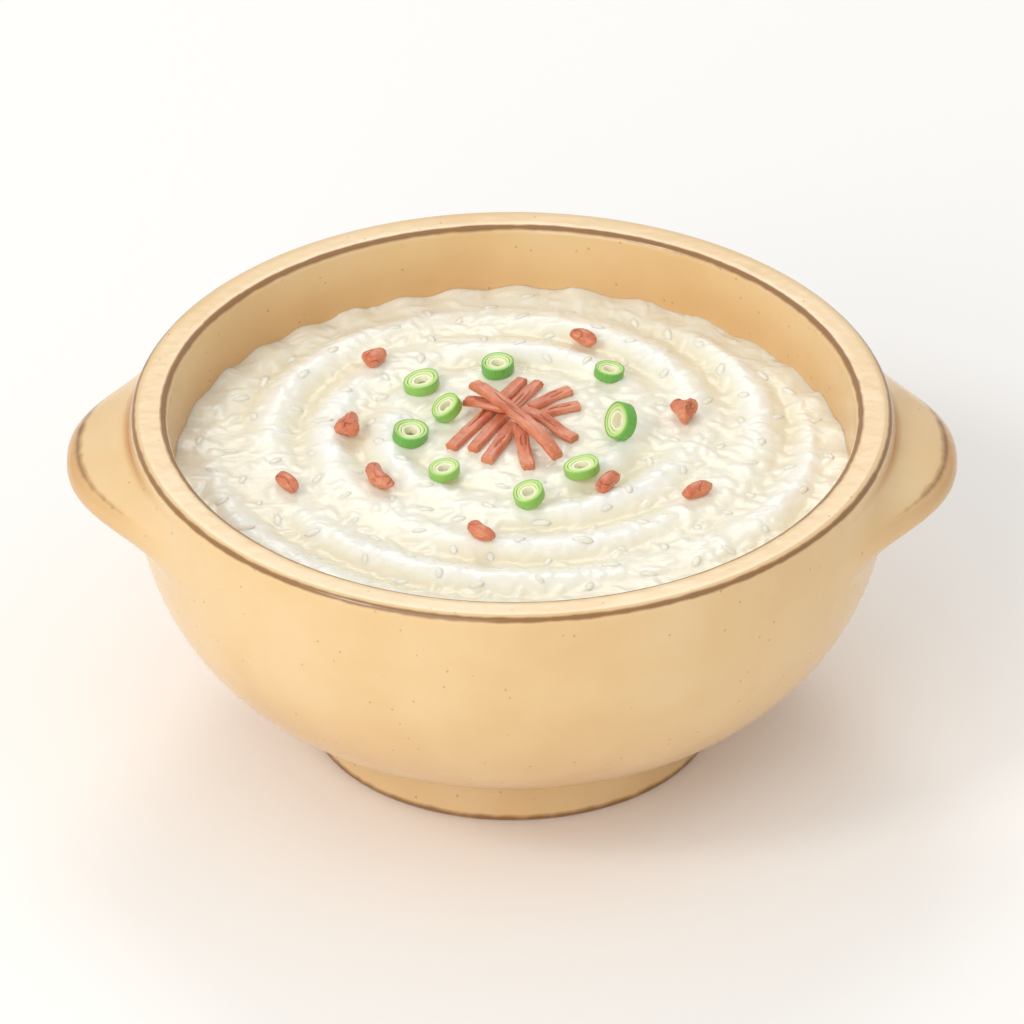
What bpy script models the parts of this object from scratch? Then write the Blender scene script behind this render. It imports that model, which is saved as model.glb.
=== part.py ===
"""A bowl of congee: a glazed stoneware bowl with two lugs, rice porridge, cured ham and spring onion."""

import math
import random

import bmesh
import bpy
from mathutils import Matrix, Vector
from mathutils.bvhtree import BVHTree
from mathutils.geometry import delaunay_2d_cdt, interpolate_bezier

MM = 0.001
CLEARANCE = 0.3 * MM

# The bowl. Its wall follows one power curve, and depth is measured down from the rim's top.
RIM_RADIUS = 90 * MM
BOWL_HEIGHT = 84 * MM
RIM_WIDTH = 8.8 * MM
RIM_EDGE_RADIUS = 2.2 * MM
WALL_POWER = 3.0
OUTER_DEPTH = 82 * MM
INNER_DEPTH = 73 * MM
INNER_LEAN = 1 * MM
LEAN_DEPTH = 16 * MM
FOOT_RADIUS = 48 * MM
FOOT_TAPER = 1.6 * MM
FOOT_HEIGHT = 11 * MM
FOOT_WIDTH = 6 * MM
FOOT_EDGE = 0.8 * MM
FOOT_FILLET = 0.8 * MM
RECESS_HEIGHT = 5 * MM
RECESS_FILLET = 4 * MM
OUTSIDE_DEPTHS = [mm * MM for mm in (72.2, 69.5, 66, 61, 54, 46, 38.5, 31)]
INSIDE_DEPTHS = [mm * MM for mm in (5, 9, 13, 18, 27, 37.5, 47, 55.5, 62.5, 68, 71.4)]
BOWL_COLUMNS = 72

# The two lugs, one on each side, drawn as a section that fades out along the wall. The handles of its
# two curves are (reach beyond the wall, depth).
LUG_REACH = 15.3 * MM
LUG_SPREAD = math.radians(19.4)
LUG_FADE = 2.53
LUG_TOP = 3.5 * MM
LUG_NOSE = 13.8 * MM
LUG_BOTTOM = 25 * MM
LUG_UNDER = [(0.6 * MM, 18 * MM), (LUG_REACH, 19.5 * MM)]
LUG_OVER = [(LUG_REACH, 8 * MM), (2.5 * MM, 7.6 * MM)]
LUG_ROWS = 6

# The congee. The level is where it meets the wall. Outside CLIMB_START it climbs or dips to its edge.
CONGEE_LEVEL = 16 * MM
CONGEE_DOME = 1.5 * MM
CONGEE_GAP = 0.5 * MM
CONGEE_RINGS = 16
CLIMB_START = 71 * MM
EDGE_POINTS = 150
EDGE_WAVES = 34
EDGE_WAVE_HEIGHT = 0.56 * MM
EDGE_SLOPES = 5
EDGE_SLOPE_HEIGHT = 0.4 * MM
SWIRL_CENTRE = (0, 16 * MM)
SWIRL_HEIGHT = 1.1 * MM
SWIRL_SPACING = 14.5 * MM
SWIRL_START = 20 * MM
SWIRL_MARGIN = 5 * MM
SWIRL_ARMS = 2
SWIRL_BREAKS = 3
SWIRL_BREAK_DRIFT = 57 * MM

# The ham strips, listed in the order in which they were dropped: width, height and plan points in mm.
# A strip bends down at most at STRIP_BEND beside whatever holds it up.
STRIPS = [
    (3.3, 1.8, [(2.4, 35.2), (-6.1, 19.7), (-14.4, 5.2)]),
    (3.1, 1.8, [(6.3, 34.0), (-2.7, 17.6), (-9.3, 4.2)]),
    (3.4, 1.9, [(0.3, 15.2), (-2.7, 7.4), (-6.0, -0.9)]),
    (3.4, 1.8, [(1.7, 11.0), (2.8, 3.8), (4.0, -3.6)]),
    (3.4, 1.8, [(13.8, 30.7), (9.0, 27.2), (4.6, 22.4)]),
    (3.3, 1.8, [(15.9, 23.7), (11.4, 22.0), (7.0, 19.6)]),
    (3.5, 1.8, [(2.2, 18.1), (8.4, 14.5), (14.8, 8.9)]),
    (3.4, 1.8, [(-11.1, 23.7), (-6.0, 21.1), (-1.4, 19.2)]),
    (3.6, 1.9, [(-9.1, 27.0), (-2.1, 18.2), (5.7, 6.2), (10.8, -0.4)]),
]
STRIP_STATIONS = 11
STRIP_CORNER = 0.5 * MM
STRIP_END = 0.9
STRIP_BEND = 0.03 / MM
STRIP_REACH = 0.3 * MM

# The spring onion rings: place, outer radius and height in mm, then tilt and the tilt's heading in degrees.
# The hole is a share of the radius.
ONION_RINGS = [
    (-21.4, 32.9, 4.3, 2.3, 8, -170),
    (-15.4, 19.6, 3.5, 2.6, 32, -147),
    (-24.0, 10.1, 4.3, 2.5, 9, -15),
    (-16.0, -5.9, 3.7, 2.2, 5, -170),
    (-3.4, 40.2, 4.1, 2.6, 3, 170),
    (23.0, 37.7, 3.5, 2.2, 9, -10),
    (25.7, 10.6, 4.4, 3.0, 62, -150),
    (16.5, -5.3, 4.0, 2.3, 11, -161),
    (4.0, -17.8, 4.0, 2.4, 17, -160),
]
ONION_HOLE = 0.4
ONION_EDGE = 0.25 * MM
ONION_COLUMNS = 14

# The ham bits: place, length, width and height in mm, heading and bend in degrees, and depth of the lobes.
HAM_BITS = [
    (-32.6, 44.0, 6.7, 5.2, 4.1, 46, 0, 0.06),
    (-38.6, 13.7, 7.7, 5.8, 4.5, 78, 0, 0.2),
    (-53.0, -10.4, 8.1, 4.4, 3.7, -60, 0, 0.0),
    (-32.0, -8.7, 11.4, 4.5, 4.0, -64, 100, 0.0),
    (-7.7, -33.8, 8.8, 4.3, 3.8, -52, 112, 0.0),
    (22.3, -11.3, 8.9, 4.4, 3.7, 62, -46, 0.0),
    (43.6, -14.2, 8.5, 4.2, 3.7, 38, 0, 0.0),
    (40.7, 20.0, 7.3, 6.0, 4.4, -84, 0, 0.26),
    (17.1, 54.5, 7.7, 4.3, 3.6, -44, -46, 0.0),
]
BIT_ROWS = 8
BIT_COLUMNS = 12
BIT_LOBES = 3
BIT_LOBE_TURN = 0.4
BIT_UNEVENNESS = 0.05
BIT_BLUNTNESS = 0.85


def clear_scene():
    for obj in list(bpy.data.objects):
        bpy.data.objects.remove(obj, do_unlink=True)


def plain_material(name, colour, roughness):
    material = bpy.data.materials.new(name)
    material.use_nodes = True
    shader = material.node_tree.nodes["Principled BSDF"]
    shader.inputs["Base Color"].default_value = (*colour, 1)
    shader.inputs["Roughness"].default_value = roughness
    shader.inputs["Metallic"].default_value = 0
    return material


def add_object(name, bm, material, sharp_angle=40):
    bmesh.ops.recalc_face_normals(bm, faces=bm.faces)
    mesh = bpy.data.meshes.new(name)
    bm.to_mesh(mesh)
    bm.free()
    mesh.shade_smooth()
    mesh.set_sharp_from_angle(angle=math.radians(sharp_angle))
    mesh.materials.append(material)
    obj = bpy.data.objects.new(name, mesh)
    bpy.context.scene.collection.objects.link(obj)
    return obj


def blend(a, b, share):
    return a + (b - a) * share


def smooth_step(value, low, high):
    share = min(1, max(0, (value - low) / (high - low)))
    return share * share * (3 - 2 * share)


def loft(bm, loops, close_ends=True, close_rows=False):
    """Joins loops of equal length with quads. The ends are capped, left open or joined to each other."""
    rows = [[bm.verts.new(point) for point in loop] for loop in loops]
    count = len(rows[0])
    pairs = list(zip(rows, rows[1:]))
    if close_rows:
        pairs.append((rows[-1], rows[0]))
    for lower, upper in pairs:
        for i in range(count):
            j = (i + 1) % count
            bm.faces.new((lower[i], lower[j], upper[j], upper[i]))
    if close_ends:
        bm.faces.new(list(reversed(rows[0])))
        bm.faces.new(rows[-1])
    return rows


def cap_with_point(bm, row, point):
    tip = bm.verts.new(point)
    for i, vert in enumerate(row):
        bm.faces.new((vert, row[(i + 1) % len(row)], tip))


def wall_radius(depth, top_radius, full_depth):
    """Radius of the inner or outer wall at a depth below the rim."""
    return top_radius * math.sqrt(1 - (depth / full_depth) ** WALL_POWER)


def outer_radius(depth):
    return wall_radius(depth, RIM_RADIUS, OUTER_DEPTH)


def inner_radius(depth):
    """The inner wall leans in a little below the rim, where the wall is thicker."""
    lean = INNER_LEAN * smooth_step(depth, 0, LEAN_DEPTH)
    return max(0, wall_radius(depth, RIM_RADIUS - RIM_WIDTH, INNER_DEPTH) - lean)


def lug_share(angle):
    """How much of the lug stands out at an angle: 1 at the middle of either side, fading to 0."""
    off_axis = abs(math.asin(max(-1, min(1, math.sin(angle)))))
    return math.exp(-((off_axis / LUG_SPREAD) ** LUG_FADE))


def lug_section():
    """The lug's section as (reach beyond the wall, depth), from its lower root to its upper root."""
    root_low = Vector((0, LUG_BOTTOM, 0))
    nose = Vector((LUG_REACH, LUG_NOSE, 0))
    root_high = Vector((0, LUG_TOP, 0))
    under = [Vector((*handle, 0)) for handle in LUG_UNDER]
    over = [Vector((*handle, 0)) for handle in LUG_OVER]
    lower = interpolate_bezier(root_low, *under, nose, LUG_ROWS)
    upper = interpolate_bezier(nose, *over, root_high, LUG_ROWS)
    return [(point.x, point.y) for point in lower + upper[1:]]


def rim_rows():
    """The rim's rounded outer edge, flat top and rounded inner edge, as (radius, depth)."""
    turns = [math.radians(degrees) for degrees in (0, 45, 90)]
    outer_centre = RIM_RADIUS - RIM_EDGE_RADIUS
    inner_centre = RIM_RADIUS - RIM_WIDTH + RIM_EDGE_RADIUS
    outer, inner = [], []
    for turn in turns:
        depth = RIM_EDGE_RADIUS * (1 - math.sin(turn))
        outer.append((outer_centre + RIM_EDGE_RADIUS * math.cos(turn), depth))
        inner.append((inner_centre - RIM_EDGE_RADIUS * math.cos(turn), depth))
    return outer + inner[::-1]


def foot_rows():
    """The recess under the bowl and the foot ring round it, as (radius, height)."""
    inside = FOOT_RADIUS - FOOT_WIDTH
    top = FOOT_RADIUS - FOOT_TAPER
    return [
        (inside - RECESS_FILLET, RECESS_HEIGHT),
        (inside - FOOT_EDGE, RECESS_HEIGHT - RECESS_FILLET / 3),
        (inside, FOOT_EDGE),
        (inside + FOOT_EDGE, 0),
        (FOOT_RADIUS - FOOT_EDGE, 0),
        (FOOT_RADIUS, FOOT_EDGE),
        (top, FOOT_HEIGHT - 2 * FOOT_FILLET),
        (top + FOOT_FILLET, FOOT_HEIGHT - FOOT_FILLET / 2),
    ]


def make_bowl(material):
    """A turned wall from under the foot over the rim to the inner floor, with the lugs drawn out of it."""
    angles = [2 * math.pi * i / BOWL_COLUMNS for i in range(BOWL_COLUMNS)]
    section = lug_section()
    last = len(section) - 1

    def ring(radius, height):
        return [(radius * math.cos(a), radius * math.sin(a), height) for a in angles]

    loops = [ring(radius, height) for radius, height in foot_rows()]
    for depth in OUTSIDE_DEPTHS:
        loops.append(ring(outer_radius(depth), BOWL_HEIGHT - depth))
    for row, (reach, lug_depth) in enumerate(section):
        wall_depth = blend(LUG_BOTTOM, LUG_TOP, row / last)
        loop = []
        for angle in angles:
            share = lug_share(angle)
            depth = blend(wall_depth, lug_depth, share)
            radius = outer_radius(depth) + reach * share
            loop.append((radius * math.cos(angle), radius * math.sin(angle), BOWL_HEIGHT - depth))
        loops.append(loop)
    for radius, depth in rim_rows():
        loops.append(ring(radius, BOWL_HEIGHT - depth))
    for depth in INSIDE_DEPTHS:
        loops.append(ring(inner_radius(depth), BOWL_HEIGHT - depth))

    bm = bmesh.new()
    rows = loft(bm, loops, close_ends=False)
    cap_with_point(bm, rows[0], (0, 0, RECESS_HEIGHT))
    cap_with_point(bm, rows[-1], (0, 0, BOWL_HEIGHT - INNER_DEPTH))
    return add_object("bowl", bm, material)


def edge_depth(angle):
    """Depth of the congee's uneven edge along the wall."""
    wave = math.sin(EDGE_WAVES * angle + math.sin(3 * angle))
    slope = math.sin(EDGE_SLOPES * angle + 0.7)
    return CONGEE_LEVEL - EDGE_WAVE_HEIGHT * wave - EDGE_SLOPE_HEIGHT * slope


def swirl(x, y):
    """The ridges that stirring left: a spiral, broken into arcs, from -1 to 1."""
    to_wall = inner_radius(CONGEE_LEVEL) - math.hypot(x, y)
    x -= SWIRL_CENTRE[0]
    y -= SWIRL_CENTRE[1]
    radius = math.hypot(x, y)
    angle = math.atan2(y, x)
    fade = smooth_step(radius, SWIRL_START, 1.5 * SWIRL_START)
    fade *= smooth_step(to_wall, SWIRL_MARGIN, 2 * SWIRL_MARGIN)
    breaks = math.sin(SWIRL_BREAKS * angle + 2 * math.pi * radius / SWIRL_BREAK_DRIFT)
    arms = math.cos(2 * math.pi * radius / SWIRL_SPACING - SWIRL_ARMS * angle)
    return fade * (0.6 + 0.4 * breaks) * arms


def congee_height(x, y):
    """Height of the congee's surface above the foot."""
    radius = math.hypot(x, y)
    edge_radius = inner_radius(CONGEE_LEVEL)
    climb = smooth_step(radius, CLIMB_START, edge_radius)
    depth = blend(CONGEE_LEVEL, edge_depth(math.atan2(y, x)), climb)
    dome = CONGEE_DOME * max(0, 1 - (radius / edge_radius) ** 2)
    return BOWL_HEIGHT - depth + dome + SWIRL_HEIGHT * swirl(x, y)


def ring_points(radius, count, turn=0.0):
    steps = [turn + 2 * math.pi * i / count for i in range(count)]
    return [(radius * math.cos(a), radius * math.sin(a)) for a in steps]


def add_surface(bm, edge, inner_points):
    """A surface of triangles inside a closed edge, through the inner points."""
    corners = [vert.co for vert in edge] + [Vector(point) for point in inner_points]
    plan = [corner.xy for corner in corners]
    sides = [(i, (i + 1) % len(edge)) for i in range(len(edge))]
    _, _, faces, origins, _, _ = delaunay_2d_cdt(plan, sides, [], 1, 1e-7)
    verts = list(edge) + [bm.verts.new(point) for point in inner_points]
    for face in faces:
        bm.faces.new([verts[origins[i][0]] for i in face])


def make_congee(material):
    bm = bmesh.new()
    edge = []
    for i in range(EDGE_POINTS):
        angle = 2 * math.pi * i / EDGE_POINTS
        depth = edge_depth(angle)
        radius = inner_radius(depth) - CONGEE_GAP
        point = (radius * math.cos(angle), radius * math.sin(angle), BOWL_HEIGHT - depth)
        edge.append(bm.verts.new(point))

    spacing = inner_radius(CONGEE_LEVEL) / CONGEE_RINGS
    plan = [(0, 0)]
    for k in range(1, CONGEE_RINGS):
        plan += ring_points(k * spacing, 6 * k, turn=0.5 * k)
    add_surface(bm, edge, [(x, y, congee_height(x, y)) for x, y in plan])

    under = [(0, 0, BOWL_HEIGHT - INNER_DEPTH + CONGEE_GAP)]
    for depth in INSIDE_DEPTHS:
        if depth > CONGEE_LEVEL + 2 * CONGEE_DOME:
            radius = inner_radius(depth) - CONGEE_GAP
            height = BOWL_HEIGHT - depth + CONGEE_GAP
            count = 12 * round(radius / (20 * MM))
            under += [(x, y, height) for x, y in ring_points(radius, count)]
    add_surface(bm, edge, under)
    return add_object("congee", bm, material, sharp_angle=60)


def smooth_path(points, count):
    """Evenly spaced points on a smooth curve through the plan points given in mm."""
    knots = [Vector((x * MM, y * MM, 0)) for x, y in points]
    dense = []
    for i in range(len(knots) - 1):
        before = knots[max(i - 1, 0)]
        after = knots[min(i + 2, len(knots) - 1)]
        handle_a = knots[i] + (knots[i + 1] - before) / 6
        handle_b = knots[i + 1] - (after - knots[i]) / 6
        dense += interpolate_bezier(knots[i], handle_a, handle_b, knots[i + 1], 24)[i > 0 :]
    lengths = [0.0]
    for a, b in zip(dense, dense[1:]):
        lengths.append(lengths[-1] + (b - a).length)
    path = []
    for step in range(count):
        target = lengths[-1] * step / (count - 1)
        k = max(i for i, length in enumerate(lengths) if length <= target + 1e-12)
        k = min(k, len(dense) - 2)
        share = (target - lengths[k]) / (lengths[k + 1] - lengths[k])
        path.append(dense[k].lerp(dense[k + 1], share))
    return path, lengths[-1]


def surface_of(obj):
    """The object's mesh, as a tree that finds the height of its top at a place."""
    mesh = obj.data
    return BVHTree.FromPolygons([v.co for v in mesh.vertices], [p.vertices for p in mesh.polygons])


def top_height(surface, x, y):
    point, *_ = surface.ray_cast(Vector((x, y, 1)), Vector((0, 0, -1)))
    return point.z


def side_of(path, i):
    """The level direction across a path at one of its points."""
    ahead = path[min(i + 1, len(path) - 1)] - path[max(i - 1, 0)]
    return Vector((-ahead.y, ahead.x, 0)).normalized()


def support_height(point, surface, laid):
    """Height of whatever lies under a point: the congee, or the top of a strip laid earlier."""
    height = top_height(surface, point.x, point.y)
    for strip in laid:
        for a, b in zip(strip["top"], strip["top"][1:]):
            along = (b - a).xy
            share = max(0, min(1, (point.xy - a.xy).dot(along) / along.length_squared))
            if (a.xy.lerp(b.xy, share) - point.xy).length < strip["half_width"] + STRIP_REACH:
                height = max(height, blend(a.z, b.z, share))
    return height


def lay_strip(path, length, half_width, surface, laid):
    """Heights of a strip's underside: it bends over what supports it and sinks back on both sides."""
    supports = []
    for i, point in enumerate(path):
        side = side_of(path, i) * half_width
        spots = (point - side, point, point + side)
        supports.append(max(support_height(spot, surface, laid) for spot in spots) + CLEARANCE)
    spacing = length / (len(path) - 1)
    return [
        max(s - STRIP_BEND * ((i - k) * spacing) ** 2 for k, s in enumerate(supports))
        for i in range(len(path))
    ]


def strip_section(half_width, height):
    """A rectangle with cut corners, as (across, up) from the middle of the underside."""
    cut = STRIP_CORNER
    half = [
        (half_width - cut, 0),
        (half_width, cut),
        (half_width, height - cut),
        (half_width - cut, height),
    ]
    return half + [(-across, up) for across, up in reversed(half)]


def make_strips(material, surface):
    laid = []
    for number, (width, height, points) in enumerate(STRIPS, 1):
        half_width = width / 2 * MM
        path, length = smooth_path(points, STRIP_STATIONS)
        underside = lay_strip(path, length, half_width, surface, laid)
        section = strip_section(half_width, height * MM)
        loops = []
        for i, point in enumerate(path):
            side = side_of(path, i)
            taper = STRIP_END if i in (0, len(path) - 1) else 1
            base = Vector((point.x, point.y, underside[i]))
            up = Vector((0, 0, 1))
            loops.append([base + side * across * taper + up * rise for across, rise in section])
        bm = bmesh.new()
        loft(bm, loops)
        add_object(f"ham_strip_{number}", bm, material)
        top = [Vector((p.x, p.y, z + height * MM)) for p, z in zip(path, underside)]
        laid.append({"top": top, "half_width": half_width})


def rest_on(surface, bm):
    """Lifts a shape until its lowest points clear the surface."""
    lift = max(top_height(surface, v.co.x, v.co.y) + CLEARANCE - v.co.z for v in bm.verts)
    bmesh.ops.translate(bm, verts=bm.verts, vec=(0, 0, lift))


def make_onion_rings(material, surface):
    """Short lengths of a stem with a narrow hollow, cut across and a little out of round."""
    chance = random.Random(11)
    for number, (x, y, radius, height, tilt, heading) in enumerate(ONION_RINGS, 1):
        radius *= MM
        height *= MM
        squeeze = chance.uniform(0.03, 0.09)
        turn = chance.uniform(0, math.pi)
        section = [
            (radius - ONION_EDGE, 0),
            (radius, ONION_EDGE),
            (radius, height - ONION_EDGE),
            (radius - ONION_EDGE, height),
            (radius * ONION_HOLE, height - ONION_EDGE),
            (radius * ONION_HOLE, ONION_EDGE),
        ]
        loops = []
        for r, z in section:
            loop = []
            for i in range(ONION_COLUMNS):
                angle = 2 * math.pi * i / ONION_COLUMNS
                around = r * (1 + squeeze * math.cos(2 * angle - turn))
                loop.append((around * math.cos(angle), around * math.sin(angle), z - height / 2))
            loops.append(loop)
        bm = bmesh.new()
        loft(bm, loops, close_ends=False, close_rows=True)
        towards = math.radians(heading)
        axis = Vector((-math.sin(towards), math.cos(towards), 0))
        lean = Matrix.Rotation(math.radians(tilt), 4, axis)
        bmesh.ops.transform(bm, matrix=lean, verts=bm.verts)
        bmesh.ops.translate(bm, verts=bm.verts, vec=(x * MM, y * MM, 0))
        rest_on(surface, bm)
        add_object(f"spring_onion_{number}", bm, material)


def bend_along(point, bend, length):
    """Bends a shape that lies along X into an arc of the given angle."""
    if not bend:
        return point
    radius = length / bend
    turn = point.x / radius
    out = radius - point.y
    return Vector((out * math.sin(turn), radius - out * math.cos(turn), point.z))


def make_ham_bits(material, surface):
    """Small lumps: ovals, bent beans and three-lobed crumbs, all a little uneven."""
    chance = random.Random(5)
    for number, row in enumerate(HAM_BITS, 1):
        x, y, length, width, height, heading, bend, lobes = row
        half = Vector((length / 2 * MM, width / 2 * MM, height / 2 * MM))
        phase = chance.uniform(0, 2 * math.pi)
        loops = []
        tips = []
        for k in range(BIT_ROWS + 1):
            polar = math.pi * k / BIT_ROWS
            loop = []
            for i in range(BIT_COLUMNS):
                angle = 2 * math.pi * i / BIT_COLUMNS
                # Rows run along the lump's length, so that the bend follows them.
                around = Vector((-math.cos(polar), math.sin(polar) * math.cos(angle), 0))
                plan = math.atan2(around.y, around.x)
                swell = 1 + lobes * math.cos(BIT_LOBES * plan + BIT_LOBE_TURN)
                swell += BIT_UNEVENNESS * math.sin(2 * angle + phase + 3 * polar)
                blunt = math.copysign(abs(around.x) ** BIT_BLUNTNESS, around.x)
                rise = math.sin(polar) * math.sin(angle)
                point = Vector((blunt * half.x, around.y * half.y, rise * half.z)) * swell
                loop.append(bend_along(point, math.radians(bend), length * MM))
            if k in (0, BIT_ROWS):
                tips.append(loop[0])
            else:
                loops.append(loop)
        bm = bmesh.new()
        rows = loft(bm, loops, close_ends=False)
        cap_with_point(bm, rows[0], tips[0])
        cap_with_point(bm, rows[-1], tips[1])
        place = Matrix.Translation((x * MM, y * MM, 0))
        turn = Matrix.Rotation(math.radians(heading), 4, "Z")
        bmesh.ops.transform(bm, matrix=place @ turn, verts=bm.verts)
        rest_on(surface, bm)
        add_object(f"ham_bit_{number}", bm, material)


def main():
    clear_scene()
    glaze = plain_material("sand glazed stoneware", (0.83, 0.60, 0.33), 0.28)
    porridge = plain_material("rice porridge", (0.94, 0.90, 0.77), 0.3)
    ham = plain_material("cured ham", (0.67, 0.18, 0.10), 0.4)
    leaf = plain_material("spring onion leaf", (0.18, 0.46, 0.10), 0.4)
    make_bowl(glaze)
    surface = surface_of(make_congee(porridge))
    make_strips(ham, surface)
    make_onion_rings(leaf, surface)
    make_ham_bits(ham, surface)


main()
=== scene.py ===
"""The looks of a bowl of congee: a glazed stoneware bowl, rice porridge, cured ham and spring onion."""

import math
import random

import bmesh
import bpy
import numpy as np
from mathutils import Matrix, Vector, noise
from mathutils.bvhtree import BVHTree
from mathutils.geometry import interpolate_bezier


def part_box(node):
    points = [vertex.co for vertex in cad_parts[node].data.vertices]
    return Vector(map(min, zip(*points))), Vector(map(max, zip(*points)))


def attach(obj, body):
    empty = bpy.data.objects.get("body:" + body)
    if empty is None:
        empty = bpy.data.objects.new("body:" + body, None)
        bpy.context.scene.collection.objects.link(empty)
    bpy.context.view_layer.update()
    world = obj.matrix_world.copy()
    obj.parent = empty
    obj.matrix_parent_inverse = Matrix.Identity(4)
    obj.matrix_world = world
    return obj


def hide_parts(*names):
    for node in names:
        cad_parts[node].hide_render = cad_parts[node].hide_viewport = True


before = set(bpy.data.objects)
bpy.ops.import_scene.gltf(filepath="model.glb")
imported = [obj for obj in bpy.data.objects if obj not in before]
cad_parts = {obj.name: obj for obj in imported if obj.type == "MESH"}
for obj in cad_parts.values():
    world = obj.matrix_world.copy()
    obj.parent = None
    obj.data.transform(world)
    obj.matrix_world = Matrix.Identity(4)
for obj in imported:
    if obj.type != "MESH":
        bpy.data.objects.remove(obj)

MM = 0.001
FULL_TURN = 2 * math.pi
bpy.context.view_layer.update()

# The bowl's profile, as the solid has it. Depth is measured down from the rim's top.
BOWL_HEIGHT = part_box("bowl")[1].z
RIM_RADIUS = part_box("bowl")[1].y
RIM_WIDTH = 8.8 * MM
RIM_EDGE_RADIUS = 2.2 * MM
WALL_POWER = 3.0
OUTER_DEPTH = 82 * MM
INNER_DEPTH = 73 * MM
INNER_LEAN = 1 * MM
LEAN_DEPTH = 16 * MM
FOOT_RADIUS = 48 * MM
FOOT_TAPER = 1.6 * MM
FOOT_HEIGHT = 11 * MM
FOOT_WIDTH = 6 * MM
FOOT_EDGE = 0.8 * MM
RECESS_HEIGHT = 5 * MM
RECESS_FILLET = 4 * MM
BODY_START = 72.2 * MM

# How finely the bowl is drawn: steps round it, up its wall and over an edge or a corner.
BOWL_COLUMNS = 360
ROW_SPACING = 1.5 * MM
INNER_ROWS_END = INNER_DEPTH - 0.6 * MM
RECESS_STEPS = 12
FOOT_STEPS = 5
CORNER_STEPS = 6
FOOT_EDGE_STEPS = 4
RIM_EDGE_STEPS = 8
RIM_TOP_STEPS = 4

# The lugs. The handles of the section's two curves are (reach beyond the wall, depth).
LUG_REACH = 15.3 * MM
LUG_SPREAD = math.radians(19.4)
LUG_FADE = 2.53
LUG_TOP = 3.5 * MM
LUG_NOSE = 13.8 * MM
LUG_BOTTOM = 25 * MM
LUG_UNDER = [(0.6 * MM, 18 * MM), (LUG_REACH, 19.5 * MM)]
LUG_OVER = [(LUG_REACH, 8 * MM), (2.5 * MM, 7.6 * MM)]
LUG_ROWS = 18

# How deep the glaze lies: 0 is its usual layer, -1 is thin and pale, and 1 is thick and honey brown.
# Some of these depths are painted light and shade: the lug tops are paler as painted light, the rim is paler
# partly from thin glaze and partly as painted light on its top, and the lugs' undersides, the lower body and
# the inner wall are darker as painted shade.
RIM_THIN_GLAZE_AND_PAINTED_LIGHT = -0.15
LUG_TOP_PAINTED_LIGHT = -0.15
LUG_UNDER_PAINTED_SHADE = 0.5
LUG_PAINTED_SHADE_FADE_IN = 0.2
BODY_LOW_PAINTED_SHADE = 0.34
INNER_WALL_PAINTED_SHADE = 0.32
INNER_PAINTED_SHADE_DEPTHS = (2 * MM, 14 * MM)
INNER_FLOOR_GLAZE = 0.4

# Where the glaze breaks to brown over an edge or pools in a fold, as (strength, place, width). A place is a
# height on the foot, a depth on the body, a share of the lug's section and an angle on the rim's edges.
LUG_RIDGE = 0.65
LUG_RIDGE_ROUNDING = 0.05
FOOT_BREAK = (0.9, 0.7 * MM, 0.7 * MM)
FOOT_POOL = (0.5, FOOT_HEIGHT, 1.5 * MM)
BODY_POOL = (0.5, BODY_START, 2.5 * MM)
LUG_BREAK = (0.8, LUG_RIDGE, 0.035)
LUG_POOL = (1.1, 0.97, 0.04)
RIM_BREAK = (1, math.radians(42), math.radians(22))
INNER_BREAK = (1, math.radians(58), math.radians(26))
BARE_HEIGHT = 0.3 * FOOT_EDGE

# The congee's surface, as the solid has it.
CONGEE_LEVEL = 16 * MM
CONGEE_DOME = 1.5 * MM
CLIMB_START = 71 * MM
EDGE_WAVES = 34
EDGE_WAVE_HEIGHT = 0.56 * MM
EDGE_SLOPES = 5
EDGE_SLOPE_HEIGHT = 0.4 * MM
SWIRL_CENTRE = (0, 16 * MM)
SWIRL_HEIGHT = 1.1 * MM
SWIRL_SPACING = 14.5 * MM
SWIRL_START = 20 * MM
SWIRL_MARGIN = 5 * MM
SWIRL_ARMS = 2
SWIRL_BREAKS = 3
SWIRL_BREAK_DRIFT = 57 * MM

# What the fine surface adds to the congee: it reaches a little into the wall, wets the toppings and has
# sunken grains under its skin. Its hidden underside follows the inner wall at a few depths.
CONGEE_SQUARES = 290
CONGEE_UNDER_DEPTHS = (22 * MM, 34 * MM, 50 * MM, 62 * MM, 69 * MM)
WALL_OVERLAP = 0.2 * MM
WETTING_HEIGHT = 0.75 * MM
WETTING_REACH = 1.1 * MM
WETTING_GAP = 1.2 * MM
WETTING_GAIN = 1.6
BELOW_SURFACE = 3 * MM
# Painted highlight on the swirl's crests and painted shade in its hollows, and whiter sunk grains.
RIDGE_PAINTED_LIGHT_AND_SHADE = 0.75
GRAIN_WHITENESS = 0.35

# Rice grains. The loose ones are tried at this many places in each square of their spacing, and those too
# near another are dropped. Least and most are shares of a full grain's length, width and height.
GRAIN_LENGTH = 5.2 * MM
GRAIN_WIDTH = 2.3 * MM
SUNK_GRAINS = 1500
SUNK_GRAIN_HEIGHT = 0.4 * MM
SUNK_GRAIN_SEED = 3
LOOSE_GRAIN_SPACING = 8.5 * MM
LOOSE_GRAIN_TRIALS = 3.2
LOOSE_GRAIN_SUNK = 0.28
LOOSE_GRAIN_SEED = 7
LOOSE_GRAIN_FROM_WALL = 3 * MM
LOOSE_GRAIN_TILTS = (0.06, 0.08)
LOOSE_GRAIN_LEAST = (0.6, 0.8, 0.45)
LOOSE_GRAIN_MOST = (1.1, 1.1, 0.62)

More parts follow.
